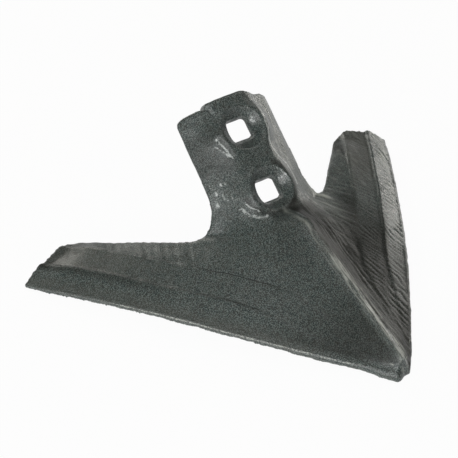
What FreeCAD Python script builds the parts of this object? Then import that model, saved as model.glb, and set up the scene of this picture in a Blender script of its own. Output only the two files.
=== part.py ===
import FreeCAD, Part
import Sketcher
import math
import os
from collections import namedtuple

# Duckfoot sweep for a spring tine: one forged steel piece.
# Frame: X across the working width, Y from the nose towards the wing ends, Z up. The nose and the
# two wing ends stand on Z = 0, and the origin lies under the middle of the part.
# Features are drawn with the nose at Y = 0, and the body as a whole is moved at the end.

doc = FreeCAD.newDocument("DuckfootSweep")

# Driving dimensions, in millimetres and degrees
SIZES = [
    ("working_width", 200.0),
    ("wing_reach", 141.0),
    ("nose_width", 9.0),
    ("nose_height", 10.0),
    ("nose_slope", 52.0),
    ("edge_bulge", 3.8),
    ("edge_arch", 4.7),
    ("edge_thickness", 2.0),
    ("plate_thickness", 5.4),
    ("crest_start", 11.0),
    ("crest_height", 40.6),
    ("crest_length", 72.0),
    ("crest_sag", 1.8),
    ("crest_radius", 8.0),
    ("rib_width", 16.0),
    ("rib_drop", 4.0),
    ("bevel_width", 12.2),
    ("bevel_rise", 8.2),
    ("bevel_step", 1.4),
    ("band_width", 14.2),
    ("band_rise", 3.7),
    ("band_step", 0.7),
    ("rear_edge_x", 26.6),
    ("rear_edge_y", 95.0),
    ("rear_edge_angle", 48.4),
    ("wing_end_angle", 15.0),
    ("wing_corner_radius", 13.0),
    ("root_radius", 6.5),
    ("hole_y", 97.7),
    ("hole_z", 37.9),
    ("hole_square", 11.0),
    ("hole_corner_radius", 2.0),
    ("hole_spacing", 29.3),
    ("stem_angle", 41.3),
    ("stem_top", 14.4),
    ("stem_width", 47.6),
    ("stem_taper", 2.4),
    ("stem_corner_radius", 4.0),
    ("flange_angle", 43.0),
    ("flange_apex", 12.5),
    ("shoulder_radius", 9.0),
    ("pad_height", 4.4),
    ("pad_thickness", 7.2),
    ("channel_radius", 3.5),
    ("boss_radius", 12.8),
    ("boss_height", 8.0),
    ("boss_draft", 4.6),
    ("dish_radius", 10.2),
    ("dish_depth", 4.6),
]

sheet = doc.addObject("Spreadsheet::Sheet", "Sizes")
for row, (name, number) in enumerate(SIZES, start=1):
    sheet.set("A%d" % row, name)
    sheet.set("B%d" % row, str(number))
    sheet.setAlias("B%d" % row, name)
doc.recompute()


class Term:
    """A number together with the sheet expression that gives it."""

    def __init__(self, value, text=None):
        self.value = float(value)
        self.text = text if text is not None else repr(float(value))

    def join(self, other, sign, value):
        return Term(value, "(%s %s %s)" % (self.text, sign, other.text))

    def __add__(self, other):
        other = term(other)
        return self.join(other, "+", self.value + other.value)

    def __sub__(self, other):
        other = term(other)
        return self.join(other, "-", self.value - other.value)

    def __mul__(self, other):
        other = term(other)
        return self.join(other, "*", self.value * other.value)

    def __truediv__(self, other):
        other = term(other)
        return self.join(other, "/", self.value / other.value)

    def __radd__(self, other):
        return term(other) + self

    def __rsub__(self, other):
        return term(other) - self

    def __rmul__(self, other):
        return term(other) * self

    def __rtruediv__(self, other):
        return term(other) / self

    def __neg__(self):
        return term(0.0) - self


def term(value):
    return value if isinstance(value, Term) else Term(value)


def sine(angle):
    return Term(math.sin(math.radians(angle.value)), "sin(%s * 1 deg)" % angle.text)


def cosine(angle):
    return Term(math.cos(math.radians(angle.value)), "cos(%s * 1 deg)" % angle.text)


def root(value):
    return Term(math.sqrt(value.value), "sqrt(%s)" % value.text)


def tangent(angle):
    return Term(math.tan(math.radians(angle.value)), "tan(%s * 1 deg)" % angle.text)


D = {name: Term(number, "Sizes." + name) for name, number in SIZES}
# Cutting shapes and hidden ends reach past the metal by this much
CLEAR = 60.0

body = doc.addObject("PartDesign::Body", "sweep_blade")
body.Label = "sweep_blade"


def plane(role):
    for feature in body.Origin.OriginFeatures:
        if feature.Role == role:
            return feature
    raise RuntimeError("no origin plane " + role)


def place(item, role, base, turn=None):
    """Attach to an origin plane with an offset bound to the sheet and a turn about local X."""
    item.AttachmentSupport = [(plane(role), "")]
    item.MapMode = "FlatFace"
    base = [term(value) for value in base]
    angle = term(turn if turn is not None else 0.0)
    item.AttachmentOffset = FreeCAD.Placement(
        FreeCAD.Vector(*[value.value for value in base]),
        FreeCAD.Rotation(FreeCAD.Vector(1, 0, 0), angle.value))
    for axis, value in zip("xyz", base):
        item.setExpression("AttachmentOffset.Base." + axis, value.text)
    if turn is not None:
        item.setExpression("AttachmentOffset.Rotation.Angle", angle.text)


def pin(sketch, geometry, position, point):
    """Hold one point of the sketch at its place with two bound distances."""
    for kind, value in (("DistanceX", term(point[0])), ("DistanceY", term(point[1]))):
        index = sketch.addConstraint(
            Sketcher.Constraint(kind, -1, 1, geometry, position, value.value))
        sketch.setExpression("Constraints[%d]" % index, value.text)


def flip(point):
    return (-term(point[0]), point[1])


def vector(point):
    return FreeCAD.Vector(term(point[0]).value, term(point[1]).value, 0)


def add_line(sketch, start, end):
    return sketch.addGeometry(Part.LineSegment(vector(start), vector(end)), False)


def add_arc(sketch, start, end, centre, radius):
    """An arc from start to end, anticlockwise or not as the centre asks, the shorter way round."""
    first = vector(start) - vector(centre)
    last = vector(end) - vector(centre)
    turn = first.cross(last).z
    begin = math.atan2(first.y, first.x)
    finish = math.atan2(last.y, last.x)
    if turn < 0:
        begin, finish = finish, begin
    if finish < begin:
        finish += 2 * math.pi
    circle = Part.Circle(vector(centre), FreeCAD.Vector(0, 0, 1), radius.value)
    index = sketch.addGeometry(Part.ArcOfCircle(circle, begin, finish), False)
    size = sketch.addConstraint(Sketcher.Constraint("Radius", index, radius.value))
    sketch.setExpression("Constraints[%d]" % size, radius.text)
    return index, (1, 2) if turn > 0 else (2, 1)


def closed_profile(sketch, points, arcs=None):
    """A closed loop through the points; arcs maps the number of a point to the centre and radius
    of the arc that leaves it, and every other piece is a straight line."""
    arcs = arcs or {}
    count = len(points)
    pieces = []
    for i in range(count):
        start = points[i]
        end = points[(i + 1) % count]
        if i in arcs:
            centre, radius = arcs[i]
            pieces.append(add_arc(sketch, start, end, centre, radius))
        else:
            pieces.append((add_line(sketch, start, end), (1, 2)))
    for i in range(count):
        index, ends = pieces[i]
        following, following_ends = pieces[(i + 1) % count]
        sketch.addConstraint(Sketcher.Constraint(
            "Coincident", index, ends[1], following, following_ends[0]))
        pin(sketch, index, ends[0], points[i])


def new_sketch(name, role, base, turn=None):
    sketch = body.newObject("Sketcher::SketchObject", name)
    place(sketch, role, base, turn)
    return sketch


# Blade form: lines that run from the nose to the wing ends, as functions of the share of the reach
def edge_x(u):
    half_nose = D["nose_width"] / 2
    half_span = D["working_width"] / 2
    return half_nose + (half_span - half_nose) * u + D["edge_bulge"] * (4 * u * (1 - u))


def edge_z(u):
    """Height of the underside of the cutting edge: an arch, level with the nose at the wing ends."""
    if u > 1.0:
        return term(0.0)
    return D["edge_arch"] * (4 * u * (1 - u))


def crest_z(share):
    rise = D["crest_height"] - D["crest_start"]
    return D["crest_start"] + rise * share - D["crest_sag"] * (4 * share * (1 - share))


# Share of the reach, of the bevel and band widths, of the crest radius and of the rib's width, and
# how far the bevel and band stand out from a plain flank
FRONT_STATIONS = [
    (0.00, 0.10, 0.08, 0.06, 0.00),
    (0.08, 0.20, 0.30, 0.28, 0.00),
    (0.18, 0.45, 0.50, 0.50, 0.00),
    (0.27, 0.70, 0.62, 0.63, 0.05),
    (0.36, 0.92, 0.75, 0.75, 0.50),
    (0.44, 1.00, 0.88, 0.90, 0.85),
    (0.51, 1.00, 1.00, 1.00, 1.00),
]
# Behind the crest: share of the reach and of the widths, height of the middle over the band, and
# the foot of the stem: its place as a share of the rear edge's and its height over the band
REAR_STATIONS = [
    (0.60, 1.00, 19.0, 0.714, 8.6),
    (0.68, 1.00, 13.0, 0.827, 6.6),
    (0.77, 1.00, 9.0, 1.165, 3.0),
    (0.86, 1.00, 5.0, 1.541, 0.2),
    (0.95, 0.97, 0.0, 1.880, -3.4),
    (1.00, 0.95, -2.8, 2.090, -5.0),
    (1.14, 0.90, -9.0, 2.556, -11.0),
]
SOLID_NOSE = 0.10
LIP_RUN = 0.7
CROWN_SHARES = (0.26, 0.78)
OVERHANG = 2.0
DEEP = -30.0
# Drop of the underside for each millimetre of wall, larger where the face above is steeper
BAND_DROP, FLANK_DROP, CREST_DROP = 1.16, 1.28, 1.50

# Half of a blade section: its share of the reach, of the widths and of the crest radius, and its
# points from the cutting edge up to the height of the crest
Half = namedtuple("Half", "reach widths crown edge bevel band flank crest")


def edge_lines(u, widths):
    """Cutting edge, and distances from the middle to the tops of the bevel and of the band."""
    edge = (edge_x(u), edge_z(u) + D["edge_thickness"])
    x_bevel = edge[0] - D["bevel_width"] * widths
    x_band = x_bevel - D["band_width"] * widths
    return edge, x_bevel, x_band


def front_half(u, widths, crown, rib_share, form):
    """Half a section under the crest: the rib, the flank, the band and the bevel."""
    edge, x_bevel, x_band = edge_lines(u, widths)
    x_edge, z_edge = edge
    crest = crest_z(D["wing_reach"] * u / D["crest_length"])
    z_bevel_full = z_edge + D["bevel_rise"]
    z_band_full = z_bevel_full + D["band_rise"]
    x_flank = D["rib_width"] * rib_share
    fall_full = (crest - z_band_full) / x_band
    fall_plain = (crest - z_edge) / x_edge
    z_flank = crest - x_flank * (fall_full * form + fall_plain * (1 - form)) \
        - D["rib_drop"] * (rib_share * rib_share)
    slope = (z_flank - z_edge) / (x_edge - x_flank)
    z_bevel = z_bevel_full * form + (z_edge + slope * (x_edge - x_bevel)) * (1 - form)
    z_band = z_band_full * form + (z_edge + slope * (x_edge - x_band)) * (1 - form)
    return Half(u, widths, crown, edge, (x_bevel, z_bevel), (x_band, z_band), (x_flank, z_flank), crest)


def rear_half(u, widths, crest_over, foot_share, foot_over):
    """Half a section behind the crest, where the wing meets the foot of the stem."""
    edge, x_bevel, x_band = edge_lines(u, widths)
    z_bevel = edge[1] + D["bevel_rise"]
    z_band = z_bevel + D["band_rise"]
    foot = (D["rear_edge_x"] * foot_share, z_band + foot_over)
    return Half(u, widths, 1.0, edge, (x_bevel, z_bevel), (x_band, z_band), foot, z_band + crest_over)


def upper_section(half):
    """Upper side of a section: a round crest, then each face down to the cutting edge."""
    lip = LIP_RUN * half.widths
    step_share = min(1.0, half.reach)
    slope = D["bevel_rise"] / D["bevel_width"]
    x_flank, z_flank = half.flank
    x_out = half.edge[0] + OVERHANG
    right = [
        half.flank,
        (half.band[0] - lip, half.band[1] - D["band_step"] * step_share),
        half.band,
        (half.bevel[0] - lip, half.bevel[1] - D["bevel_step"] * step_share),
        half.bevel,
        (x_out, half.edge[1] - slope * OVERHANG),
        (x_out, term(DEEP)),
    ]
    rise = (half.crest - z_flank) / x_flank
    slant = root(1.0 + rise * rise)
    radius = D["crest_radius"] * half.crown
    x_round = radius * rise / slant
    z_round = half.crest - x_round * rise - radius / slant + radius
    x_top, x_side = (x_round * share for share in CROWN_SHARES)
    right = [(x_top, z_round), (x_side, half.crest - x_side * rise)] + right
    return [flip(point) for point in reversed(right)] + right


def lower_section(half):
    """Underside of a section; towards the nose the plate thickens until it is solid."""
    x_out = half.edge[0] + OVERHANG + 1.0
    z_under = half.edge[1] - D["edge_thickness"]
    wall = D["plate_thickness"]
    if half.reach < SOLID_NOSE:
        middle = z_under
        levels = [z_under, z_under, z_under]
    else:
        middle = half.crest - wall * CREST_DROP
        levels = [half.flank[1] - wall * FLANK_DROP, half.band[1] - wall * BAND_DROP,
                  half.bevel[1] - wall * BAND_DROP]
    right = [(point[0], z) for point, z in zip((half.flank, half.band, half.bevel), levels)]
    right += [(half.edge[0], z_under), (x_out, z_under), (x_out, term(DEEP - 4.0))]
    return [flip(point) for point in reversed(right)] + [(term(0.0), middle)] + right


def blade_loft(kind, name, section, overrun):
    """A ruled loft through all sections, run on past both ends."""
    halves = [front_half(*row) for row in FRONT_STATIONS] + [rear_half(*row) for row in REAR_STATIONS]
    rows = [(half, D["wing_reach"] * half.reach) for half in reversed(halves)]
    rows[0] = (rows[0][0], rows[0][1] + overrun)
    rows.append((halves[0], term(-overrun)))
    sketches = []
    for number, (half, y) in enumerate(rows):
        sketch = new_sketch("%s_station_%d" % (name, number), "XZ_Plane", (0.0, 0.0, -y))
        closed_profile(sketch, section(half))
        sketches.append(sketch)
    loft = body.newObject(kind, name)
    loft.Profile = sketches[0]
    loft.Sections = sketches[1:]
    loft.Ruled = True


def report(step):
    """Recompute, so that the next feature finds its base, and print the state of the body."""
    doc.recompute()
    print(step, round(body.Shape.Volume), "mm3", "valid" if body.Shape.isValid() else "not valid")


blade_loft("PartDesign::AdditiveLoft", "blade_top", upper_section, 1.0)
report("blade top")

# Stem: an arched bar that leans back, cut off square at its top
stem_cos = cosine(D["stem_angle"])
stem_sin = sine(D["stem_angle"])
stem_end = D["hole_spacing"] + D["stem_top"]


def stem_point(along, out=0.0):
    """Y and Z of a point at a distance along the stem from the lower hole, and out from its plane."""
    along = term(along)
    out = term(out)
    y = D["hole_y"] + along * stem_cos - out * stem_sin
    z = D["hole_z"] + along * stem_sin + out * stem_cos
    return y, z


def section_base(along):
    y, z = stem_point(along)
    return (0.0, z, -y)


def arch_profile(sketch, height, apex, radius, wide, deep):
    """Flat top, round shoulders, flanges that fall away at the flange angle, and a deep base."""
    fall = tangent(D["flange_angle"])
    corner = (apex - height) / fall
    cut = radius * tangent(D["flange_angle"] / 2)
    flat = corner - cut
    shoulder = (corner + cut * cosine(D["flange_angle"]), height - cut * sine(D["flange_angle"]))
    right = [(flat, height), shoulder, (term(wide), apex - fall * wide), (term(wide), term(-deep))]
    left = [flip(point) for point in reversed(right)]
    centre = (flat, height - radius)
    closed_profile(sketch, right + left, {0: (centre, radius), 6: (flip(centre), radius)})


# The bar is drawn wider and deeper than the stem, and runs on down into the blade
BAR_HALF, BAR_DEPTH, BAR_RUN = 36.0, 70.0, 35.0

stem_sketch = new_sketch("stem_section", "XZ_Plane", section_base(stem_end), D["stem_angle"])
arch_profile(stem_sketch, D["pad_height"], D["flange_apex"], D["shoulder_radius"], BAR_HALF, BAR_DEPTH)
stem_pad = body.newObject("PartDesign::Pad", "stem_top_form")
stem_pad.Profile = stem_sketch
stem_pad.setExpression("Length", (stem_end + BAR_RUN).text)
report("with stem")


def hole_plane_base(along, out):
    y, z = stem_point(along, out)
    return (0.0, y, z)


def cone(kind, name, along, out, bottom_radius, top_radius, height):
    """A cone about a bolt axis, standing on the stem plane at the given distance out."""
    item = body.newObject(kind, name)
    place(item, "XY_Plane", hole_plane_base(along, out), D["stem_angle"])
    for size, value in (("Radius1", bottom_radius), ("Radius2", top_radius), ("Height", height)):
        setattr(item, size, term(value).value)
        item.setExpression(size, term(value).text)
    return item


def rounded_square(sketch, side, radius):
    half = side / 2
    flat = half - radius
    for turn in range(4):
        cos_t, sin_t = ((1, 0), (0, 1), (-1, 0), (0, -1))[turn]

        def at(x, y):
            return (x * cos_t - y * sin_t, x * sin_t + y * cos_t)

        start = at(half, -flat)
        end = at(half, flat)
        following = at(flat, half)
        line = add_line(sketch, start, end)
        arc, ends = add_arc(sketch, end, following, at(flat, flat), radius)
        pin(sketch, line, 1, start)
        pin(sketch, line, 2, end)
        sketch.addConstraint(Sketcher.Constraint("Coincident", line, 2, arc, ends[0]))
    for turn in range(4):
        sketch.addConstraint(Sketcher.Constraint(
            "Coincident", 2 * turn + 1, 2, 2 * ((turn + 1) % 4), 1))


HOLES = (("lower", term(0.0)), ("upper", D["hole_spacing"]))

# Raised rims that carry the bolt dishes
for name, along in HOLES:
    cone("PartDesign::AdditiveCone", name + "_rim", along, D["pad_height"] - D["boss_height"],
         D["boss_radius"] + D["boss_draft"], D["boss_radius"], D["boss_height"])
    report(name + " rim")

# The crest ends in a steep round wall in front of the lower dish
WALL_LEAN, WALL_HEIGHT = 9.0, 25.0
cone("PartDesign::SubtractiveCone", "crest_end", 0.0, D["pad_height"],
     D["boss_radius"], D["boss_radius"] + WALL_LEAN, WALL_HEIGHT)
report("crest end")

# Hollow underside of the blade
blade_loft("PartDesign::SubtractiveLoft", "blade_hollow", lower_section, 3.0)
report("blade hollow")

# Channel behind the stem, where the tine lies
channel_sketch = new_sketch("channel_section", "XZ_Plane", section_base(stem_end + 2.0),
                            D["stem_angle"])
arch_profile(channel_sketch, D["pad_height"] - D["pad_thickness"],
             D["flange_apex"] - D["plate_thickness"] / cosine(D["flange_angle"]),
             D["channel_radius"], BAR_HALF + 2.0, BAR_DEPTH + 8.0)
channel = body.newObject("PartDesign::Pocket", "tine_channel")
channel.Profile = channel_sketch
channel.setExpression("Length", (stem_end + BAR_RUN + 5.0).text)
channel.Reversed = True
report("tine channel")

# Outline of the forging seen from above: cutting edges, wing ends, rear edges and root fillets
half_nose = D["nose_width"] / 2
half_span = D["working_width"] / 2
half_stem = D["stem_width"] / 2
rear_cos = cosine(D["rear_edge_angle"])
rear_sin = sine(D["rear_edge_angle"])
end_cos = cosine(D["wing_end_angle"])
end_sin = sine(D["wing_end_angle"])

# Corner where the wing end meets the rear edge
rear_run = half_span - D["rear_edge_x"]
rear_climb = D["wing_reach"] - D["rear_edge_y"]
end_length = (rear_run * rear_sin - rear_climb * rear_cos) / (end_cos * rear_sin + end_sin * rear_cos)
corner_x = half_span - end_length * end_cos
corner_y = D["wing_reach"] + end_length * end_sin
corner_cut = D["wing_corner_radius"] * tangent((D["rear_edge_angle"] + D["wing_end_angle"]) / 2)
corner_a = (corner_x + corner_cut * end_cos, corner_y - corner_cut * end_sin)
corner_b = (corner_x - corner_cut * rear_cos, corner_y - corner_cut * rear_sin)
corner_centre = (corner_a[0] - D["wing_corner_radius"] * end_sin,
                 corner_a[1] - D["wing_corner_radius"] * end_cos)

# Corner where the rear edge meets the side of the stem
root_y = D["rear_edge_y"] - (D["rear_edge_x"] - half_stem) * rear_sin / rear_cos
root_cut = D["root_radius"] / tangent((90.0 - D["rear_edge_angle"]) / 2)
root_a = (half_stem + root_cut * rear_cos, root_y + root_cut * rear_sin)
root_b = (half_stem, root_y + root_cut)
root_centre = (half_stem + D["root_radius"], root_b[1])
stem_top_y = D["hole_y"] + stem_end * stem_cos
stem_far = (half_stem - D["stem_taper"] / 2, stem_top_y + CLEAR)

# The cutting edge is an arc with its sagitta square to the line from the nose to the wing end
chord = root((half_span - half_nose) * (half_span - half_nose) + D["wing_reach"] * D["wing_reach"])
sagitta = D["edge_bulge"] * D["wing_reach"] / chord
edge_radius = chord * chord / (8.0 * sagitta) + sagitta / 2


def edge_centre(start, end, radius):
    """Centre of the cutting edge's arc, on the side of the other wing."""
    first = vector(start)
    last = vector(end)
    middle = (first + last) * 0.5
    along = (last - first).normalize()
    depth = math.sqrt(radius.value ** 2 - (last - first).Length ** 2 / 4)
    return (middle.x - along.y * depth, middle.y + along.x * depth)


nose = (half_nose, term(0.0))
tip = (half_span, D["wing_reach"])
right_side = [nose, tip, corner_a, corner_b, root_a, root_b, stem_far]
loop = right_side + [flip(point) for point in reversed(right_side)]
arcs = {0: (edge_centre(nose, tip, edge_radius), edge_radius),
        2: (corner_centre, D["wing_corner_radius"]),
        4: (root_centre, D["root_radius"])}
for number, (centre, radius) in list(arcs.items()):
    arcs[len(loop) - 2 - number] = (flip(centre), radius)

outline = new_sketch("outline", "XY_Plane", (0.0, 0.0, 2 * CLEAR))
closed_profile(outline, loop, arcs)
outside_x = half_span + CLEAR
outside_y = stem_top_y + 2 * CLEAR
closed_profile(outline, [(-outside_x, term(-CLEAR)), (outside_x, term(-CLEAR)),
                         (outside_x, outside_y), (-outside_x, outside_y)])
trim = body.newObject("PartDesign::Pocket", "outline_trim")
trim.Profile = outline
trim.Length = 4 * CLEAR
report("outline")

# Edges of the flanges turn from upright at the root to square with the flange up the stem
WEDGE_OUT, WEDGE_DEPTH, ROOT_CUT = 4.0, 46.0, 3.2
NECK_SHARE, ROOT_SHARE = 0.17, 0.72
fall = tangent(D["flange_angle"])


def wedge_section(name, along, half, run):
    """A triangle outside the flange edge at half the stem's width, cut in by its run at the foot."""
    sketch = new_sketch(name, "XZ_Plane", section_base(along), D["stem_angle"])
    corner = D["flange_apex"] - fall * half
    out = half + WEDGE_OUT
    closed_profile(sketch, [(out, corner + WEDGE_OUT / fall), (out, term(-WEDGE_DEPTH)),
                            (out - run, term(-WEDGE_DEPTH))])
    return sketch


half_top = half_stem - D["stem_taper"] / 2
half_middle = half_stem - D["stem_taper"] / 6
full_run = (WEDGE_DEPTH + D["flange_apex"] - fall * half_top) * fall + WEDGE_OUT
wedge = body.newObject("PartDesign::SubtractiveLoft", "flange_edge")
wedge.Profile = wedge_section("flange_edge_top", stem_end + 3.0, half_top, full_run)
wedge.Sections = [
    wedge_section("flange_edge_middle", term(7.0), half_middle, full_run),
    wedge_section("flange_edge_neck", term(1.0), half_stem + D["root_radius"] * NECK_SHARE, full_run),
    wedge_section("flange_edge_root", term(-5.0), half_stem + D["root_radius"] * ROOT_SHARE,
                  term(ROOT_CUT)),
]
wedge.Ruled = True
report("flange edge")
wedge_pair = body.newObject("PartDesign::Mirrored", "flange_edge_pair")
wedge_pair.Originals = [wedge]
wedge_pair.MirrorPlane = (plane("YZ_Plane"), [""])
body.Tip = wedge_pair
report("flange edges")

# Square top end of the stem, with rounded corners
end_sketch = new_sketch("stem_end_outline", "XY_Plane", hole_plane_base(term(0.0), term(CLEAR / 2)),
                        D["stem_angle"])
low = term(16.0)
radius = D["stem_corner_radius"]
far_x = half_stem + 12.0
beyond = stem_end + 30.0
lip_x = half_top + 0.4
for side in (1, -1):
    loop = [(far_x * side, low), (far_x * side, beyond), (term(0.0), beyond), (term(0.0), stem_end),
            ((lip_x - radius) * side, stem_end), (lip_x * side, stem_end - radius), (lip_x * side, low)]
    closed_profile(end_sketch, loop, {4: (((lip_x - radius) * side, stem_end - radius), radius)})
end_trim = body.newObject("PartDesign::Pocket", "stem_end_trim")
end_trim.Profile = end_sketch
end_trim.Length = CLEAR
report("stem end")

# Round countersunk dishes and square holes for the plough bolts
dish_foot = D["hole_square"] / 2 - 0.1
spread = (D["dish_radius"] - dish_foot) / D["dish_depth"]
for name, along in HOLES:
    cone("PartDesign::SubtractiveCone", name + "_dish", along, D["pad_height"] - D["dish_depth"],
         dish_foot, D["dish_radius"] + spread * 2.0, D["dish_depth"] + 2.0)
    square = new_sketch(name + "_square", "XY_Plane", hole_plane_base(along, 20.0), D["stem_angle"])
    rounded_square(square, D["hole_square"], D["hole_corner_radius"])
    hole = body.newObject("PartDesign::Pocket", name + "_hole")
    hole.Profile = square
    hole.Length = 40.0
    report(name + " hole")

# Blunt nose, bevelled on top
NOSE_RUN = 9.0
slope = tangent(D["nose_slope"])
nose_top = D["nose_height"] + slope * NOSE_RUN
nose_sketch = new_sketch("nose_profile", "YZ_Plane", (0.0, 0.0, 0.0))
closed_profile(nose_sketch, [(term(-3.0), D["nose_height"] - slope * 3.0),
                             (term(NOSE_RUN), nose_top), (term(-3.0), nose_top)])
nose_cut = body.newObject("PartDesign::Pocket", "nose_bevel")
nose_cut.Profile = nose_sketch
nose_cut.Length = CLEAR
nose_cut.Midplane = True
report("nose")

# The part's own frame: middle of the wings' span and of the length, standing on Z = 0
length = corner_centre[1] + D["wing_corner_radius"]
body.setExpression("Placement.Base.y", (-(length / 2)).text)
doc.recompute()

faults = [item.Label for item in doc.Objects if "Invalid" in item.State or "Error" in item.State]
if faults:
    raise RuntimeError("features that failed: " + ", ".join(faults))
shape = body.Shape
if shape.isNull() or not shape.isValid() or len(shape.Solids) != 1:
    raise RuntimeError("sweep_blade is not one valid solid")

os.makedirs("parts", exist_ok=True)
shape.exportStep("parts/%s.step" % body.Label)
box = shape.optimalBoundingBox()
print("length", round(length.value, 3), "box", [round(v, 2) for v in (
    box.XMin, box.XMax, box.YMin, box.YMax, box.ZMin, box.ZMax)])
print("volume cm3", round(shape.Volume / 1000.0, 2), "faces", len(shape.Faces))
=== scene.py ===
# %% [markdown]
# # A duckfoot sweep
# This part is the V-shaped blade of a cultivator. It is forged in one piece from steel and
# dipped in thin black paint. The lesson starts from the measured solid, gives it the skin of a
# forging, paints it, and sets it on a pale studio floor.

# %% Load the frame
import math

import bpy
import numpy as np
from mathutils import Matrix, Vector


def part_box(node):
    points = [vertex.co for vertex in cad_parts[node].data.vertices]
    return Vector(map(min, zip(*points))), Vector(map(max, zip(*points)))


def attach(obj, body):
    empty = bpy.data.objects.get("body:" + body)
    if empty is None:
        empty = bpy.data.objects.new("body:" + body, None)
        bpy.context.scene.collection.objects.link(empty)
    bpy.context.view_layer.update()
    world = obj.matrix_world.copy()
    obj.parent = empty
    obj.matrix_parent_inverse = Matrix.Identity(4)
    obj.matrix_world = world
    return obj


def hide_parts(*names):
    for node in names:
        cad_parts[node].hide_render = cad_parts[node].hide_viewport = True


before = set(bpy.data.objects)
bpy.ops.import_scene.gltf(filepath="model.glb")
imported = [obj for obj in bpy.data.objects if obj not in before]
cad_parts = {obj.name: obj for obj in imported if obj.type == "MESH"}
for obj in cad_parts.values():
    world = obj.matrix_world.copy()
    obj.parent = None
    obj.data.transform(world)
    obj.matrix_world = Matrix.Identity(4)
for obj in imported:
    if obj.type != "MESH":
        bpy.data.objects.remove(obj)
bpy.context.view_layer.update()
low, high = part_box("sweep_blade")
print("solid:", [round((b - a) * 1000, 1) for a, b in zip(low, high)], "mm")

# %% [markdown]
# ## The camera
# The part is seen from the front left and from above, through a long lens. The place, turn and
# lens below give the photograph's frame. The numbers come from lining up the nose, the wing
# ends and the bolt holes.

# %% Camera
FRAME_PIXELS = 458
LENS_PIXELS = 1800.0
SENSOR = 36.0
TURN_LEFT = math.radians(33.25)
LOOK_DOWN = math.radians(36.95)
ROLL = math.radians(-0.72)
NOSE_IN_VIEW = (71.83, -61.1, -743.06)
REST_TILT = math.atan(0.0085)
NOSE_Y = low[1]


def camera_matrix():
    """The camera's turn and place, in metres, in the part's frame."""
    right = Vector((math.cos(TURN_LEFT), -math.sin(TURN_LEFT), 0.0))
    back = Vector((-math.sin(TURN_LEFT) * math.cos(LOOK_DOWN),
                   -math.cos(TURN_LEFT) * math.cos(LOOK_DOWN), math.sin(LOOK_DOWN)))
    up = back.cross(right)
    turned_right = right * math.cos(ROLL) + up * math.sin(ROLL)
    turned_up = up * math.cos(ROLL) - right * math.sin(ROLL)
    turn = Matrix((turned_right, turned_up, back)).transposed()
    place = turn @ (Vector(NOSE_IN_VIEW) * -0.001)
    rest = Matrix.Rotation(REST_TILT, 4, "X")
    nose = Matrix.Translation((0.0, NOSE_Y, 0.0))
    return nose @ rest @ Matrix.Translation(place) @ turn.to_4x4()


camera_data = bpy.data.cameras.new("studio_camera")
camera_data.sensor_width = SENSOR
camera_data.lens = LENS_PIXELS / FRAME_PIXELS * SENSOR
camera_data.clip_end = 50.0
camera = bpy.data.objects.new("studio_camera", camera_data)
camera.matrix_world = camera_matrix()
bpy.context.scene.collection.objects.link(camera)
bpy.context.scene.camera = camera
print("camera at", [round(v, 3) for v in camera.matrix_world.translation])

# %% [markdown]
# ## The forging's own mesh
# The solid has crisp edges and flat strips between its sections. A hammered blade has neither.
# A voxel remesh gives an even net of small quads over the whole solid, so that every edge can
# round off a little and the skin can carry dents. The net is one object that stands for the
# solid from every side.

# %% Even net over the solid
NET_SIZE = 0.00072


def even_net(source, name, size):
    """A copy of a mesh rebuilt from quads of one size."""
    piece = bpy.data.objects.new(name, source.data.copy())
    bpy.context.scene.collection.objects.link(piece)
    remesh = piece.modifiers.new("even_net", "REMESH")
    remesh.mode = "VOXEL"
    remesh.voxel_size = size
    shown = piece.evaluated_get(bpy.context.evaluated_depsgraph_get())
    net = bpy.data.meshes.new_from_object(shown)
    piece.modifiers.clear()
    piece.data = net
    return piece


blade = even_net(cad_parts["sweep_blade"], "forged_sweep", NET_SIZE)
mesh = blade.data
print("net:", len(mesh.vertices), "points,", len(mesh.polygons), "quads")

# %% [markdown]
# ## Reading and smoothing the net
# The points are kept as one table in millimetres, with the nose at Y = 0, so that the lengths
# below can be read off the part with a ruler. Smoothing moves each point towards the middle of
# its neighbours. A second step moves it back a little, so that the part doesn't shrink.

# %% Points, neighbours and smoothing
points = np.zeros(len(mesh.vertices) * 3)
mesh.vertices.foreach_get("co", points)
points = points.reshape(-1, 3) * 1000.0
points[:, 1] -= NOSE_Y * 1000.0
edges = np.zeros(len(mesh.edges) * 2, dtype=np.int64)
mesh.edges.foreach_get("vertices", edges)
edges = edges.reshape(-1, 2)
neighbours = np.bincount(edges.ravel(), minlength=len(points)).astype(float)


def neighbour_mean(values):
    """Mean place of each point's neighbours."""
    total = np.zeros_like(values)
    first, second = edges.T
    for axis in range(3):
        total[:, axis] = (
            np.bincount(first, weights=values[second, axis], minlength=len(values))
            + np.bincount(second, weights=values[first, axis], minlength=len(values)))
    return total / neighbours[:, None]


def smooth(values, rounds, share):
    """Rounds of smoothing, each followed by a smaller step back."""
    for _ in range(rounds):
        for amount in (0.5, -0.42):
            values = values + (neighbour_mean(values) - values) * amount * share[:, None]
    return values


def relax(values, rounds, share):
    """Rounds of plain averaging, which melt a corner into a fillet."""
    for _ in range(rounds):
        values = values + (neighbour_mean(values) - values) * share[:, None]
    return values


def step(low_value, high_value, values):
    """0 below the first value, 1 above the second, and a soft rise between them."""
    share = np.clip((values - low_value) / (high_value - low_value), 0.0, 1.0)
    return share * share * (3.0 - 2.0 * share)


def bump(values, centre, width):
    """A soft hump of height 1 about a value."""
    return np.exp(-((values - centre) / width) ** 2)


nose_block = step(7.0, 2.0, points[:, 1])
points = smooth(points, 4, 1.0 - 0.85 * nose_block)
print("smoothed:", points.min(axis=0).round(1), "to", points.max(axis=0).round(1))

# %% [markdown]
# ## Where things are on the blade
# Dents and laps follow the forging's own lines: the cutting edge, the crest and the stem. Each
# point gets its distance from them, so that a wrinkle can say "along the edge" or "down the
# stem" and not a place in space.

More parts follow.
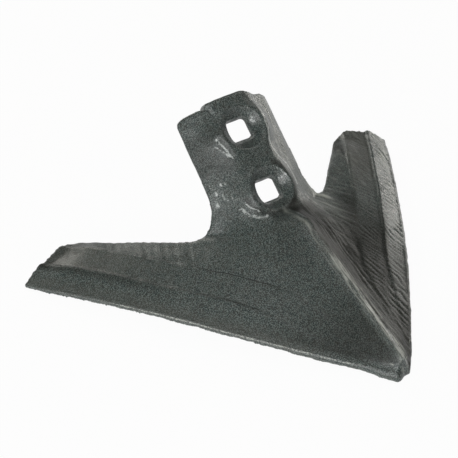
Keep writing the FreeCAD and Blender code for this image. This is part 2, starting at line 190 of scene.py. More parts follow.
# %% Distances along the forging's lines
HALF_SPAN = 100.0
HALF_NOSE = 4.5
REACH = 141.0
EDGE_BULGE = 3.8
BEVEL_WIDTH = 12.2
BAND_WIDTH = 14.2
HOLE_Y, HOLE_Z = 97.7, 37.9
HOLE_SPACING = 29.3
STEM_ANGLE = math.radians(41.3)
STEM_END = 43.7
CREST_SLOPE = math.atan2(29.6, 72.0)
REAR_X, REAR_Y = 26.6, 95.0
REAR_ANGLE = math.radians(48.4)


def edge_line(y):
    """Half width of the blade at a distance from the nose."""
    share = np.clip(y / REACH, 0.0, 1.05)
    straight = HALF_NOSE + (HALF_SPAN - HALF_NOSE) * share
    return straight + EDGE_BULGE * 4.0 * share * (1.0 - share)


def lines_of(places):
    """Distance in from the cutting edge, up the stem, and out from the stem's hole plane."""
    x, y, z = places.T
    inward = edge_line(y) - np.abs(x)
    along = (y - HOLE_Y) * math.cos(STEM_ANGLE) + (z - HOLE_Z) * math.sin(STEM_ANGLE)
    out = -(y - HOLE_Y) * math.sin(STEM_ANGLE) + (z - HOLE_Z) * math.cos(STEM_ANGLE)
    return inward, along, out


def write_points(target, places):
    """Puts a table in millimetres, nose at Y = 0, back into the mesh in metres."""
    moved = places.copy()
    moved[:, 1] += NOSE_Y * 1000.0
    target.vertices.foreach_set("co", (moved * 0.001).ravel())
    target.update()


def normals_of(target):
    """The direction that each point of the mesh faces."""
    table = np.zeros(len(target.vertices) * 3)
    target.vertex_normals.foreach_get("vector", table)
    return table.reshape(-1, 3)


write_points(mesh, points)
normals = normals_of(mesh)
inward, along, out = lines_of(points)
print("blade depth:", round(inward.max(), 1), "mm, stem length:", round(along.max(), 1), "mm")

# %% [markdown]
# ## Softening what the hammer softened
# On the real blade the stem's flanges run down into the wings in one sweep, and the raised rims
# round the bolt dishes fade into the flanges. Many rounds of plain averaging, with a share that
# is 0 at the outline and 1 in the corner, pull those corners into wide fillets.

# %% Wide fillets
side = np.abs(points[:, 0])
upper = step(0.0, 0.35, normals[:, 2])
hole_distance = np.minimum(np.hypot(points[:, 0], along),
                           np.hypot(points[:, 0], along - HOLE_SPACING))
off_dish = step(11.2, 13.5, hole_distance)
rear_edge_gap = REAR_Y + (side - REAR_X) * math.tan(REAR_ANGLE) - points[:, 1]
off_outline = np.maximum(step(0.5, 6.0, rear_edge_gap), step(24.0, 18.0, side))
at_root = step(-38.0, -26.0, along) * step(8.0, -2.0, along)
sweep_share = upper * off_dish * off_outline * at_root * step(4.0, 12.0, side) \
    * step(46.0, 32.0, side)
points = relax(points, 400, sweep_share)
rim_share = upper * step(10.4, 12.0, hole_distance) * step(22.0, 17.0, hole_distance) \
    * step(23.0, 20.5, side) * step(STEM_END - 0.5, STEM_END - 3.0, along)
points = relax(points, 60, rim_share * step(3.0, -1.0, points[:, 0]))
points = relax(points, 12, rim_share * step(-1.0, 3.0, points[:, 0]))
write_points(mesh, points)
normals = normals_of(mesh)
print("softened points:", int((sweep_share > 0.5).sum()), "and", int((rim_share > 0.5).sum()))

# %% [markdown]
# ## Uneven ends
# The two ends of the wings and the top of the stem were sheared hot, so they aren't alike. The
# left wing's rear corner droops, the right one is cut lower, and the stem's end steps out to the
# right of a small notch. The square holes were punched from the front, so they are a little
# narrower at the seat than above it.

# %% Wing corners and the stem's end
LEFT_CORNER = np.array((-77.5, 143.5))
RIGHT_CORNER = np.array((75.5, 143.5))
LEFT_END = np.array((-88.0, 142.5))
RIGHT_END = np.array((90.0, 142.0))


def near(corner, width):
    """1 at a corner of the outline and 0 well away from it."""
    return np.exp(-(np.linalg.norm(points[:, :2] - corner, axis=1) / width) ** 2)


skyward = step(-0.3, 0.3, normals[:, 2])
on_left = step(0.0, -4.0, points[:, 0])
on_right = step(0.0, 4.0, points[:, 0])
rear_edge = step(7.0, 1.0, rear_edge_gap) * skyward
points[:, 2] -= (3.0 * near(LEFT_CORNER, 8.0) + 1.6 * near(LEFT_END, 8.0)) * skyward
points[:, 2] += 0.5 * bump(points[:, 0], -44.0, 11.0) * rear_edge
points[:, 2] -= 1.8 * near(RIGHT_CORNER, 5.5) * skyward
points[:, 2] += 0.7 * near(RIGHT_END, 9.0) * skyward
wing_tip = step(132.0, 141.0, points[:, 1]) * step(60.0, 70.0, side)
points[:, 1] += 0.5 * wing_tip
points[:, 0] -= 0.5 * step(84.0, 94.0, side) * on_left
left_edge = step(5.0, 1.0, inward) * bump(points[:, 1], 52.0, 19.0) * on_left
points[:, 0] -= 0.8 * left_edge
right_edge = step(5.0, 1.0, inward) * step(60.0, 100.0, points[:, 1]) * on_right
points[:, 0] -= 0.5 * right_edge * step(146.0, 136.0, points[:, 1])
root_notch = bump(side, 31.5, 4.5) * step(5.0, 1.0, rear_edge_gap) * step(-3.0, -8.0, along) \
    * on_left
points[:, :2] += root_notch[:, None] * np.array((-0.6, 1.2))

# %% Stem's width, end and notch, and the lump under the nose
wide_stem = step(0.0, 8.0, along) * step(14.0, 20.0, side) * step(-16.0, -8.0, out)
points[:, 0] += wide_stem * (0.9 * on_right - 0.4 * on_left)
nose_foot = step(9.0, 0.0, points[:, 1]) * step(7.0, 1.5, points[:, 2])
points[:, 1] -= nose_foot * (0.7 + 1.5 * step(1.0, -3.0, points[:, 0]))
points[:, 0] -= 1.4 * nose_foot * step(1.0, 4.0, points[:, 0])
stem_step = 1.5 * step(-11.8, -10.6, points[:, 0]) + 0.4 * step(-9.0, -12.0, points[:, 0]) \
    - 2.5 * step(5.0, 16.0, points[:, 0])
stem_step = stem_step * step(STEM_END - 4.0, STEM_END, along)
points[:, 1] += stem_step * math.cos(STEM_ANGLE)
points[:, 2] += stem_step * math.sin(STEM_ANGLE)

# %% Punched holes draw in towards the seat
HOLES = (0.0, HOLE_SPACING)
TOP_WALL, BOTTOM_WALL, RIGHT_WALL = 0.45, 1.1, 0.4
for hole in HOLES:
    across, up_stem = points[:, 0].copy(), along - hole
    drawn_in = step(-0.3, -2.0, out) * step(-6.0, -4.0, out) \
        * step(8.0, 6.0, np.maximum(np.abs(across), np.abs(up_stem)))
    at_end = step(3.2, 5.2, np.abs(up_stem)) * np.sign(up_stem)
    drawn_end = drawn_in * at_end * np.where(at_end > 0.0, TOP_WALL, BOTTOM_WALL)
    points[:, 0] -= RIGHT_WALL * drawn_in * step(3.2, 5.2, across)
    points[:, 1] -= drawn_end * math.cos(STEM_ANGLE)
    points[:, 2] -= drawn_end * math.sin(STEM_ANGLE)
write_points(mesh, points)
normals = normals_of(mesh)
print("stem end stepped out by", round(float(stem_step.max()), 1), "mm")

# %% [markdown]
# ## Forging marks
# Hot steel folds, wrinkles and takes small dents. Each mark is a height in millimetres, worked
# out for every point and added along its normal. Seeded noise keeps the marks uneven, and the
# same on each run.

# %% Seeded noise
def lattice(cells, seed):
    """A fixed number from 0 to 1 for each whole cell."""
    mixed = (cells[..., 0] * 374761393 + cells[..., 1] * 668265263
             + cells[..., 2] * 2147483629 + seed * 974634777) & 0xFFFFFFFF
    mixed = ((mixed ^ (mixed >> 13)) * 1274126177) & 0xFFFFFFFF
    mixed = ((mixed ^ (mixed >> 16)) * 2246822519) & 0xFFFFFFFF
    return (mixed & 0xFFFFFF) / float(0xFFFFFF)


def noise(places, size, seed):
    """Smooth noise from -1 to 1 whose lumps are about the given size, for one size or three."""
    scaled = places / np.asarray(size, dtype=float)
    base = np.floor(scaled).astype(np.int64)
    part = scaled - base
    part = part * part * (3.0 - 2.0 * part)
    total = np.zeros(len(places))
    for corner in range(8):
        offset = np.array([corner & 1, corner >> 1 & 1, corner >> 2 & 1])
        share = np.prod(np.where(offset == 1, part, 1.0 - part), axis=1)
        total += share * lattice(base + offset, seed)
    return total * 2.0 - 1.0


def folds(phase):
    """Rounded folds with narrow creases between them, from 0 in the crease to 1 on top."""
    return np.abs(np.sin(np.pi * phase)) ** (1.0 / 1.6)


x, y, z = points.T
right = step(0.5, 3.0, x)
left = step(-0.5, -3.0, x)
edge_run = y * 1.22
on_blade = step(-6.0, -14.0, along)
bevel_zone = step(0.8, 2.5, inward) * step(BEVEL_WIDTH + 1.0, BEVEL_WIDTH - 2.0, inward)
band_zone = step(BEVEL_WIDTH, BEVEL_WIDTH + 2.0, inward) \
    * step(BEVEL_WIDTH + BAND_WIDTH + 2.0, BEVEL_WIDTH + BAND_WIDTH - 2.0, inward)
faces_up = step(0.05, 0.4, normals[:, 2])
print("points on the bevels:", int((bevel_zone * faces_up > 0.5).sum()))

# %% Wrinkles across the right wing
drift = noise(points, 11.0, 3) * 1.1 + noise(points, 4.5, 4) * 0.35
slanted = edge_run - inward * 1.0
patchy = step(-0.5, 0.5, noise(points, 9.0, 5))
edge_folds = folds(slanted / 3.4 + drift) * (0.35 + 0.65 * patchy)
band_folds = folds(slanted / 2.6 + drift * 1.2) * (0.3 + 0.7 * patchy)
# Near the nose the folds are lower, and small patches of them are missing all over.
broken = 0.60 + 0.40 * step(12.0, 45.0, y)
broken = broken * (0.40 + 0.60 * step(-0.45, 0.35, noise(points, 4.5, 57)))
height = 0.64 * (edge_folds - 0.6) * right * bevel_zone * faces_up * broken
height += 0.38 * (band_folds - 0.6) * right * band_zone * faces_up * broken
height += 0.05 * (edge_folds - 0.6) * left * bevel_zone * faces_up

# %% Laps along the crest
crest_run = y * math.cos(CREST_SLOPE) + z * math.sin(CREST_SLOPE)
crest_rise = -y * math.sin(CREST_SLOPE) + z * math.cos(CREST_SLOPE)
crest_places = np.stack([x, crest_run, crest_rise], axis=1)
crest_places[:, 0] += noise(crest_places, (30.0, 9.0, 30.0), 11) * 0.9
strands = noise(crest_places, (1.5, 15.0, 6.0), 12) \
    + 0.5 * noise(crest_places, (0.9, 8.0, 4.0), 13)
rib_zone = step(-1.5, 1.0, x) * step(17.0, 8.0, x - y * 0.09) * step(84.0, 72.0, y) \
    * faces_up * on_blade
height += 0.30 * strands * rib_zone
valley_zone = step(4.0, 10.0, x) * step(34.0, 20.0, x) * step(30.0, 45.0, y) * faces_up \
    * step(20.0, 24.0, inward)
height += 0.16 * strands * valley_zone

# %% Wrinkles at the rear of the left wing and on the right flank
rear_places = np.stack([x * 0.9 - y * 0.4, y, z], axis=1)
rear_lines = noise(rear_places, (2.0, 16.0, 16.0), 21)
rear_zone = left * faces_up * step(BEVEL_WIDTH, BEVEL_WIDTH + 6.0, inward) \
    * step(28.0, 36.0, side)
height += 0.14 * rear_lines * rear_zone
flank_lines = noise(np.stack([x * 0.75 + y * 0.66, y, z], axis=1), (1.3, 9.0, 9.0), 53)
height += 0.22 * flank_lines * step(10.0, 18.0, x) * faces_up * step(24.0, 30.0, inward) \
    * step(-2.0, -8.0, along)

# %% Uneven skin and rolled burr on the cutting edge
height += 0.22 * noise(points, 14.0, 31) + 0.09 * noise(points, 5.0, 32) \
    + 0.05 * noise(points, 2.2, 33)
edge_noise = noise(points, (5.0, 5.0, 60.0), 41) + 0.6 * noise(points, (1.9, 1.9, 60.0), 42)
burr = bump(inward, 1.0, 0.8) * faces_up * on_blade
height += burr * (0.22 + 0.12 * edge_noise)
nicks = step(1.2, 0.2, inward) * step(0.35, -0.1, normals[:, 2]) * on_blade
height += nicks * (0.26 * edge_noise + 0.12)

# %% Crease at the top left of the stem and folds beside the dishes
def crease(start, end, width, depth):
    """A groove on the stem from one (across, along) point to another."""
    start, end = np.array(start), np.array(end)
    run = end - start
    spot = np.stack([x, along], axis=1) - start
    share = np.clip(spot @ run / (run @ run), 0.0, 1.0)
    gap = np.linalg.norm(spot - share[:, None] * run, axis=1)
    return -depth * np.exp(-(gap / width) ** 2) * (1.0 - 0.6 * share) * step(-14.0, -8.0, out)


height += crease((-12.9, STEM_END + 1.0), (-9.6, 37.5), 1.0, 1.1)
height += crease((-12.6, 27.9), (-9.6, 18.6), 0.8, 0.50)
height += crease((-13.8, 25.0), (-10.8, 19.0), 0.7, 0.35)

# %% [markdown]
# ## Where the paint is shiny or dull, and where light and shade are painted
# Paint runs together and shines on the flange beside the dishes, in the dishes' right walls and
# along the folds, and highlights are painted there in pale grey. Shade is painted near-black in
# the valley beside the crest, under the left band and round the dishes, and the paint is duller
# there. Lighter grey is painted for sheen and reflections on the crest, the right flange, the
# right bevel and the cutting edge. Each of these is worked out here as a number on every point
# of the mesh, and the material reads it by its name.

# %% Paths on the stem
def path(stops, width):
    """A soft line on the stem through a list of (across, along) points."""
    line = np.zeros(len(points))
    spots = np.stack([x, along], axis=1)
    for start, end in zip(np.array(stops[:-1]), np.array(stops[1:])):
        run = end - start
        share = np.clip((spots - start) @ run / (run @ run), 0.0, 1.0)
        gap = np.linalg.norm(spots - start - share[:, None] * run, axis=1)
        line = np.maximum(line, bump(gap, 0.0, width))
    return line


def dish_arc(hole, radius, width, start, end):
    """A part of a ring round a bolt hole, between two angles in degrees."""
    angles = np.radians(np.linspace(start, end, 7))
    return path(list(zip(radius * np.cos(angles), hole + radius * np.sin(angles))), width)


# %% Shine, and the lines where highlights are painted
on_stem = step(-14.0, -11.0, along) * faces_up
flange_patch = path([(-20.0, 12.5), (-21.5, 3.0)], 2.6) + path([(-17.0, 9.0), (-16.7, -0.5)], 1.8)
flange_patch = np.clip(flange_patch, 0.0, 1.0)
dish_arcs = dish_arc(0.0, 9.7, 0.5, 15.0, 85.0) + dish_arc(HOLE_SPACING, 9.7, 0.5, 40.0, 95.0)
dish_walls = dish_arc(0.0, 7.5, 1.4, 0.0, 45.0) + dish_arc(HOLE_SPACING, 7.5, 1.4, 0.0, 45.0)
low_arcs = path([(-15.5, -3.8), (-13.9, -8.0), (-11.1, -10.9), (-7.6, -10.8)], 0.9) \
    + path([(-13.7, -1.3), (-12.5, -5.2), (-9.9, -7.7)], 0.5)
slashes = path([(-13.4, 28.4), (-10.2, 18.1)], 0.45) \
    + 0.8 * path([(-14.5, 25.7), (-11.2, 19.1)], 0.4)
shine = np.clip(flange_patch + dish_arcs + dish_walls + low_arcs + slashes, 0.0, 1.0) * on_stem

# %% Painted shade on the right side, under the left band and round the dishes
root_flank = bump(np.hypot((x - 27.0) / 8.0, (along + 12.0) / 12.0), 0.0, 1.0) * right * faces_up
shaded = step(2.2, 3.6, x) * on_blade
# Painted shade: near-black paint on the right side beside the crest and down to the bevel, at the
# right wing's rear corner, under the left band's edge, on the left wing near the nose, on the left
# flank by the crest, on the upper left flange and in rings round the lower dish.
painted_shade = shaded * step(115.0, 80.0, y) * step(BEVEL_WIDTH + 12.0, BEVEL_WIDTH + 15.0, inward)
painted_shade += 0.9 * shaded * step(96.0, 66.0, y) * step(BEVEL_WIDTH - 3.0, BEVEL_WIDTH, inward) \
    * step(BEVEL_WIDTH + 15.0, BEVEL_WIDTH + 12.0, inward)
painted_shade += (0.65 + 0.3 * step(36.0, 20.0, y)) * shaded * step(78.0, 50.0, y) \
    * step(BEVEL_WIDTH, BEVEL_WIDTH - 3.0, inward)
painted_shade += 0.8 * step(60.0, 66.0, x) * step(26.0, 29.0, inward) * step(112.0, 122.0, y)
painted_shade *= 1.0 - root_flank
painted_shade += 0.55 * left * bump(inward, 10.6, 2.0) * step(78.0, 112.0, y)
painted_shade += 0.7 * left * step(56.0, 14.0, y) * step(1.8, 4.0, inward)
painted_shade += 0.35 * bump(np.hypot((x + 8.0) / 6.0, (y - 66.0) / 14.0), 0.0, 1.0)
painted_shade += 0.40 * step(-7.0, -11.0, x) * step(10.0, 16.0, along) * step(38.0, 30.0, along) \
    * (1.0 - flange_patch)
painted_shade += 0.8 * dish_arc(0.0, 11.8, 1.2, -100.0, 60.0) \
    + 0.6 * dish_arc(0.0, 12.6, 1.3, 185.0, 245.0)
painted_shade = np.clip(painted_shade, 0.0, 1.0) * faces_up

# %% Painted sheen and painted highlights on the crest, flanges, bevel, cutting edge and stem
stem_places = np.stack([x, along, out], axis=1)
highlight_breaks = step(-0.1, 0.5, noise(stem_places, (0.9, 2.6, 2.0), 52))
ridge_sheen_breaks = step(-0.35, 0.5, noise(crest_places, (0.9, 7.0, 6.0), 51))
# Painted sheen: lighter grey along the crest, on the right flange, the flange patch, the cutting
# edge's face, the right bevel and the right flank by the stem, where those faces catch light.
ridge = bump(x, 0.9, 1.9) * step(94.0, 84.0, y) * faces_up * on_blade
ridge = ridge * (0.12 + 0.88 * ridge_sheen_breaks) * (0.60 + 0.50 * step(34.0, 18.0, y))
# Painted sheen in streaks beside the crest.
crest_sheen_streaks = bump(x, 2.8, 3.8) * step(66.0, 44.0, y) * faces_up * on_blade \
    * step(-0.7, 0.1, noise(crest_places, (2.0, 12.0, 9.0), 58))
stem_rim = path([(13.1, 42.4), (13.3, 36.9), (11.4, 28.7), (11.2, 24.7), (9.7, 20.5), (9.7, 15.8),
                 (11.7, 11.5), (14.6, 8.0), (14.6, 2.3), (14.2, -2.5)], 0.6)
flange_strands = step(0.0, 0.6, noise(stem_places, (1.0, 9.0, 3.0), 54)) * step(11.0, 14.0, x)
painted_sheen = ridge + (0.15 * step(12.5, 15.0, x) * step(10.0, 40.0, along) + 0.10 * flange_patch
                  + 0.30 * flange_strands) * on_stem
edge_face = step(1.6, 0.6, inward) * step(0.3, -0.2, normals[:, 2]) * on_blade
painted_sheen += 0.22 * edge_face
far_bevel = right * bevel_zone * faces_up * step(40.0, 140.0, y)
painted_sheen += far_bevel * step(11.0, 4.0, inward) * (0.24 + 0.50 * step(0.55, 0.95, edge_folds))
painted_sheen += root_flank * (0.24 + 0.60 * step(-0.2, 0.5, flank_lines))
painted_sheen = np.clip(painted_sheen, 0.0, 1.0)
# Painted highlights: pale grey on the stem's rim line, the flange patch, the dish arcs and walls,
# the slashes and the low arcs, where the stem catches light.
painted_highlights = 0.95 * stem_rim + 0.85 * highlight_breaks * flange_patch + 0.65 * dish_arcs \
    + 0.55 * dish_walls
painted_highlights += 0.90 * slashes + 0.75 * low_arcs
painted_highlights = np.clip(painted_highlights, 0.0, 1.0) * on_stem

# %% Painted highlight line along the lip, and pale dust on the wing ends
EDGE_ARCH, EDGE_HEIGHT = 4.7, 2.0
NOSE_LIFT, NOSE_INWARD = 4.2, 2.5
nose_lift = bump(np.maximum(y, 3.0), 3.0, 8.0)
lip_height = EDGE_ARCH * 4.0 * (y / REACH) * (1.0 - y / REACH) + EDGE_HEIGHT \
    + NOSE_LIFT * nose_lift
lip_gap = np.hypot(inward - 0.4 - NOSE_INWARD * nose_lift, z - lip_height) \
    + 0.5 * step(96.0, 124.0, y)
dust = band_zone * step(84.0, 128.0, y) * (0.5 * left + 0.8 * right) * faces_up
dust += 0.25 * bump(np.hypot(x + 76.0, y - 140.0), 0.0, 12.0) * step(24.0, 27.0, inward) * faces_up
dust += 0.45 * left * faces_up * step(8.0, 2.0, inward) * step(15.0, 40.0, y)
dust = np.clip(dust, 0.0, 1.0)
FAR_AWAY = 200.0
left_inward = np.where(x < 0.0, inward, FAR_AWAY)
marks = {"shine": shine, "painted_shade": painted_shade, "painted_sheen": painted_sheen, "painted_highlights": painted_highlights, "dust": dust,
         "lip_gap": lip_gap, "left_inward": left_inward, "run": y, "strands": crest_sheen_streaks}
for name, values in marks.items():
    layer = mesh.attributes.new(name, "FLOAT", "POINT")
    layer.data.foreach_set("value", values)
print("shiny, sooty and rubbed points:", [int((v > 0.5).sum()) for v in (shine, painted_shade, painted_sheen)])

# %% The marks go into the mesh
points = points + normals * height[:, None]
points[:, 2] = np.maximum(points[:, 2], 0.0)
points[:, 0] = np.clip(points[:, 0], -HALF_SPAN - 0.5, HALF_SPAN + 0.5)
write_points(mesh, points)
mesh.polygons.foreach_set("use_smooth", [True] * len(mesh.polygons))
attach(blade, "root")
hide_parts("sweep_blade")
print("marks from", round(float(height.min()), 2), "to", round(float(height.max()), 2), "mm")

# %% [markdown]
# ## Shader sums in plain Python
# A material is a net of nodes. The two classes below let a sum such as 1 - wear be written as
# Python: each sign adds one Math node.

# %% Sockets as numbers
class Wire:
    """The output of a node. Sums on it add Math nodes to its material."""

    def __init__(self, finish, socket):
        self.finish = finish
        self.socket = socket

    def math(self, operation, first, second=0.5):
        """Adds one Math node."""
        return self.finish.node("ShaderNodeMath", {"operation": operation},
                                {0: first, 1: second})

    def __add__(self, other):
        return self.math("ADD", self, other)

    def __radd__(self, other):
        return self.math("ADD", other, self)

    def __sub__(self, other):
        return self.math("SUBTRACT", self, other)

    def __rsub__(self, other):
        return self.math("SUBTRACT", other, self)

    def __mul__(self, other):
        return self.math("MULTIPLY", self, other)

    def __rmul__(self, other):
        return self.math("MULTIPLY", other, self)

    def __abs__(self):
        return self.math("ABSOLUTE", self)

    def between(self, start, end):
        """0 at start, 1 at end, with a soft rise."""
        return self.finish.node("ShaderNodeMapRange", {"interpolation_type": "SMOOTHSTEP"},
                                {"Value": self, "From Min": start, "From Max": end})


class Finish:
    """A material whose nodes are added one call at a time."""

    def __init__(self, name):
        self.material = bpy.data.materials.new(name)
        self.material.use_nodes = True
        self.tree = self.material.node_tree
        self.tree.nodes.clear()

    def node(self, kind, settings=None, sockets=None, output=0):
        """Adds a node: its settings first, then a value or a link for each named socket."""
        made = self.tree.nodes.new(kind)
        for name, value in (settings or {}).items():
            setattr(made, name, value)
        for name, value in (sockets or {}).items():
            if isinstance(value, Wire):
                self.tree.links.new(value.socket, made.inputs[name])
            else:
                made.inputs[name].default_value = value
        return Wire(self, made.outputs[output]) if len(made.outputs) else made

    def mix_colours(self, share, first, second):
        """The first colour, with a share of the second laid over it."""
        return self.node("ShaderNodeMix", {"data_type": "RGBA"},
                         {0: share, 6: first, 7: second}, output=2)

    def noise(self, place, scale, detail, roughness):
        """Noise from 0 to 1. A scale of 1000 gives lumps of about a millimetre."""
        return self.node("ShaderNodeTexNoise", {}, {
            "Vector": place, "Scale": scale, "Detail": detail, "Roughness": roughness})


# %% [markdown]
# ## Thin black paint over a forged skin
# The paint is dark grey with a cold tint, satin, and full of fine specks, because it dries over
# scale. Fine noise gives the specks and the grain. Slow noise makes patches where the paint is
# thicker and shinier.

# %% The paint
paint = Finish("black_paint")
place = paint.node("ShaderNodeTexCoord", output=3)
here = {name: paint.node("ShaderNodeAttribute", {"attribute_name": name}, output=2)
        for name in marks}
speck = paint.noise(place, 2300.0, 2.0, 0.7)
grain = paint.noise(place, 1200.0, 3.0, 0.6)
patches = paint.noise(place, 70.0, 4.0, 0.55)
tint = paint.noise(place, 500.0, 1.0, 0.5)
breakup_noise = paint.noise(place, 900.0, 3.0, 0.7)
slow_wave = paint.noise(place, 90.0, 2.0, 0.5)
drawn_out = paint.node("ShaderNodeVectorMath", {"operation": "MULTIPLY"}, {
    0: place, 1: (1.0, 0.10, 0.10)})
strand = paint.noise(drawn_out, 1000.0, 3.0, 0.65)

# %% Colours of the paint
COLD_BLACK = (0.014, 0.024, 0.023, 1.0)
WARM_BLACK = (0.026, 0.028, 0.024, 1.0)
SPECK_GREY = (0.165, 0.195, 0.180, 1.0)
PALE_DUST = (0.115, 0.110, 0.095, 1.0)
# Near-black for the painted shade.
PAINTED_SHADE_BLACK = (0.016, 0.015, 0.012, 1.0)
# Pale greys for the painted sheen and the painted highlights.
SHEEN_GREY = (0.41, 0.43, 0.385, 1.0)
HIGHLIGHT_GREY = (0.48, 0.51, 0.49, 1.0)
# Near-black for the painted shade in the grooves.
GROOVE_SHADE_BLACK = (0.008, 0.007, 0.006, 1.0)
PAINTED_SHADE_COVER = 0.85

cold = paint.mix_colours(tint.between(0.35, 0.65), COLD_BLACK, WARM_BLACK)
speckled = paint.mix_colours(speck.between(0.47, 0.59), cold, SPECK_GREY)
dusty = paint.mix_colours(here["dust"] * 0.6, speckled, PALE_DUST)
# Painted highlight: a broken pale line along the top of the cutting edge.
lip_highlight = (1 - here["lip_gap"].between(0.15, 0.55)) * breakup_noise.between(0.42, 0.58)
# Painted sheen: the sheen mask, the lip line and the streaks beside the crest, mixed into one
# share of lighter grey.
sheen_share = (here["painted_sheen"] + lip_highlight * 0.9
        + here["strands"] * strand.between(0.44, 0.60) * 0.85).between(0.0, 1.0)
# Painted shade laid over the paint as near-black.
shade_painted = paint.mix_colours(here["painted_shade"] * PAINTED_SHADE_COVER, dusty, PAINTED_SHADE_BLACK)
sheened_paint = paint.mix_colours(sheen_share, shade_painted, SHEEN_GREY)
# Painted highlights on the stem, laid over the paint as pale grey.
highlight_share = (here["painted_highlights"] + (breakup_noise - 0.5) * 1.8).between(0.38, 0.86)
highlighted_paint = paint.mix_colours(highlight_share, sheened_paint, HIGHLIGHT_GREY)

# %% Painted shade in the grooves along the left wing
# Each dark groove line keeps its distance from the cutting edge, wanders a little, and runs out at
# both ends. It is painted shade, and it also roughens the paint and dents the skin. The distances
# are in millimetres.
BAND_GROOVE, BEVEL_GROOVE = 27.2, 12.9
wander = (slow_wave - 0.5) * 2.2
band_groove_shade = (1 - abs(here["left_inward"] + wander - BAND_GROOVE).between(0.08, 0.42)) \
    * here["run"].between(50.0, 70.0) * (1 - here["run"].between(86.0, 96.0))
bevel_groove_shade = (1 - abs(here["left_inward"] + wander - BEVEL_GROOVE).between(0.08, 0.36)) \
    * here["run"].between(54.0, 64.0) * (1 - here["run"].between(76.0, 84.0))
shaded_groove = (band_groove_shade + bevel_groove_shade).between(0.0, 1.0)
paint_colour = paint.mix_colours(shaded_groove * 0.92, highlighted_paint, GROOVE_SHADE_BLACK)
print("paint nodes for the colour:", len(paint.tree.nodes))

# %% Roughness and skin
polish = here["shine"] * breakup_noise.between(0.36, 0.62)
roughness = 0.25 + patches.between(0.3, 0.7) * 0.08 + grain * 0.10 + shaded_groove * 0.4 \
    - polish * 0.20
skin = paint.node("ShaderNodeBump", {}, {
    "Strength": 0.6, "Distance": 0.00022, "Height": grain * 0.8 + speck * 0.5 - shaded_groove * 0.8})
surface = paint.node("ShaderNodeBsdfPrincipled", {}, {
    "Base Color": paint_colour, "Roughness": roughness, "Normal": skin,
    "Metallic": 0.0, "IOR": 1.55})
dull = paint.node("ShaderNodeBsdfPrincipled", {}, {
    "Base Color": paint_colour, "Roughness": 0.5, "Normal": skin,
    "Metallic": 0.0, "IOR": 1.25})
# The painted-shade share also swaps in a duller paint with weaker reflections.
both_paints = paint.node("ShaderNodeMixShader", {}, {
    0: here["painted_shade"] * PAINTED_SHADE_COVER, 1: surface, 2: dull})
paint.node("ShaderNodeOutputMaterial", {}, {"Surface": both_paints})
mesh.materials.clear()
mesh.materials.append(paint.material)
print("paint nodes:", len(paint.tree.nodes))

# %% [markdown]
# ## Floor and light
# The part lies on a plain white sheet. The camera sees the sheet almost as pure white, with a
# faint soft shadow, while the light on the part stays plain.

# %% Floor
SHEET = 6.0
FLOOR_GAP = 0.0004
sheet_corners = [(-SHEET, -SHEET, 0), (SHEET, -SHEET, 0), (SHEET, SHEET, 0), (-SHEET, SHEET, 0)]
sheet_mesh = bpy.data.meshes.new("white_sheet")
sheet_mesh.from_pydata(sheet_corners, [], [(0, 1, 2, 3)])
sheet_floor = bpy.data.objects.new("white_sheet", sheet_mesh)
sheet_floor.location.z = low[2] - FLOOR_GAP
bpy.context.scene.collection.objects.link(sheet_floor)

white = Finish("white_sheet")
rays = white.tree.nodes.new("ShaderNodeLightPath")
seen = Wire(white, rays.outputs["Is Camera Ray"]) + Wire(white, rays.outputs["Is Glossy Ray"])
matt = white.node("ShaderNodeBsdfDiffuse", {}, {"Color": (0.86, 0.86, 0.85, 1.0)})
glow = white.node("ShaderNodeEmission", {}, {"Color": (1.0, 1.0, 1.0, 1.0), "Strength": 1.0})
both = white.node("ShaderNodeMixShader", {}, {0: seen * 0.96, 1: matt, 2: glow})
white.node("ShaderNodeOutputMaterial", {}, {"Surface": both})
sheet_mesh.materials.append(white.material)
print("sheet:", SHEET * 2, "m wide")

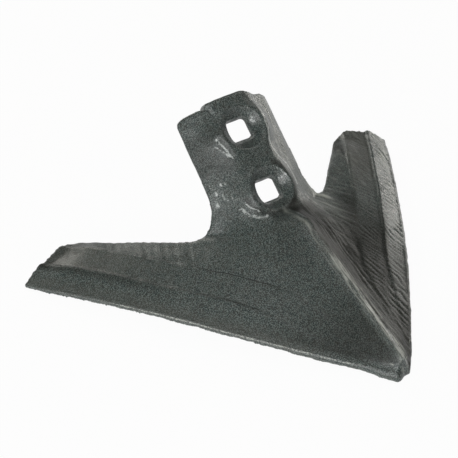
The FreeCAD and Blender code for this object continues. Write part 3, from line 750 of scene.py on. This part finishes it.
# %% Lamps
def soft_lamp(name, place_at, aim, size, watts, colour=(1.0, 1.0, 1.0)):
    """A square soft lamp that faces a point."""
    data = bpy.data.lights.new(name, "AREA")
    data.shape = "RECTANGLE"
    data.size, data.size_y = size
    data.energy = watts
    data.color = colour
    lamp = bpy.data.objects.new(name, data)
    lamp.location = place_at
    towards = Vector(aim) - Vector(place_at)
    lamp.rotation_euler = towards.to_track_quat("-Z", "Y").to_euler()
    bpy.context.scene.collection.objects.link(lamp)
    print(name, "of", watts, "W")


MIDDLE = (0.0, 0.0, 0.03)
WARM = (1.0, 0.97, 0.90)
soft_lamp("top_lamp", (0.0, -0.05, 1.05), MIDDLE, (0.6, 0.6), 1.2)
soft_lamp("front_lamp", (-0.84, -0.64, 0.48), MIDDLE, (0.6, 0.5), 5.8)
soft_lamp("edge_lamp", (-1.1, -0.22, 0.16), MIDDLE, (0.5, 0.14), 2.6)
soft_lamp("back_lamp", (0.0, 1.02, 0.50), MIDDLE, (0.7, 0.4), 3.2, WARM)
soft_lamp("high_right_lamp", (0.70, 0.0, 0.88), MIDDLE, (0.5, 0.5), 1.4, WARM)
soft_lamp("right_lamp", (1.10, 0.26, 0.12), MIDDLE, (0.5, 0.12), 1.8, WARM)

# %% Light of the room
# The room is a little brighter near the horizon than overhead.
LOW_LIGHT, HIGH_LIGHT = 0.25, 0.10
room = bpy.data.worlds.new("room")
room.use_nodes = True
air = room.node_tree
direction = air.nodes.new("ShaderNodeTexCoord")
split = air.nodes.new("ShaderNodeSeparateXYZ")
fade = air.nodes.new("ShaderNodeMapRange")
fade.interpolation_type = "SMOOTHSTEP"
air.links.new(direction.outputs["Generated"], split.inputs[0])
air.links.new(split.outputs["Z"], fade.inputs["Value"])
fade.inputs["From Min"].default_value = 0.05
fade.inputs["From Max"].default_value = 0.42
fade.inputs["To Min"].default_value = LOW_LIGHT
fade.inputs["To Max"].default_value = HIGH_LIGHT
air.links.new(fade.outputs[0], air.nodes["Background"].inputs["Strength"])
air.nodes["Background"].inputs["Color"].default_value = (1.0, 1.0, 1.0, 1.0)
bpy.context.scene.world = room
bpy.context.scene.view_settings.view_transform = "Standard"
print("room light from", LOW_LIGHT, "down to", HIGH_LIGHT)
